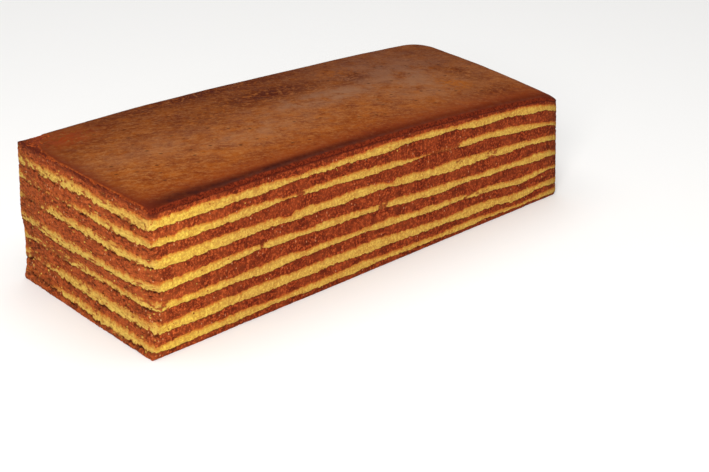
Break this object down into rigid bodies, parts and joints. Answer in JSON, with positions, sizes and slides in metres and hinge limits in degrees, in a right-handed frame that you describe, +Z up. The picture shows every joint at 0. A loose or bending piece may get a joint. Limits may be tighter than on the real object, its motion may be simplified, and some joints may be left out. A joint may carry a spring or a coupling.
{
  "type": "layered loaf cake",
  "caption": "Bar of layer cake with thin red-brown and yellow baked layers, a brown rolled crust on top, cut faces with crumb, and a flat bottom.",
  "frame": {"origin": "middle of the flat bottom, at the centre of the bounding box", "axes": "+X along the bar towards the end that stood against the tin, +Y from the long front face to the back, +Z up through the layers"},
  "size_m": [0.2154, 0.0866, 0.0566],
  "materials": {
    "red_crumb": "open red-brown cake crumb, matte",
    "yellow_crumb": "close yellow cake crumb, matte and a little moist",
    "crust": "smooth browned skin with mottling and a soft satin sheen"
  },
  "bodies": {
    "root": {"red_layer_1": "red_crumb", "yellow_layer_1": "yellow_crumb", "red_layer_2": "red_crumb", "yellow_layer_2": "yellow_crumb", "red_layer_3": "red_crumb", "yellow_layer_3": "yellow_crumb", "red_layer_4": "red_crumb", "yellow_layer_4": "yellow_crumb", "red_layer_5": "red_crumb", "yellow_layer_5": "yellow_crumb", "red_layer_6": "red_crumb", "yellow_layer_6": "yellow_crumb", "red_layer_7": "red_crumb", "yellow_layer_7": "yellow_crumb", "top_layer": "crust"}
  },
  "joints": []
}
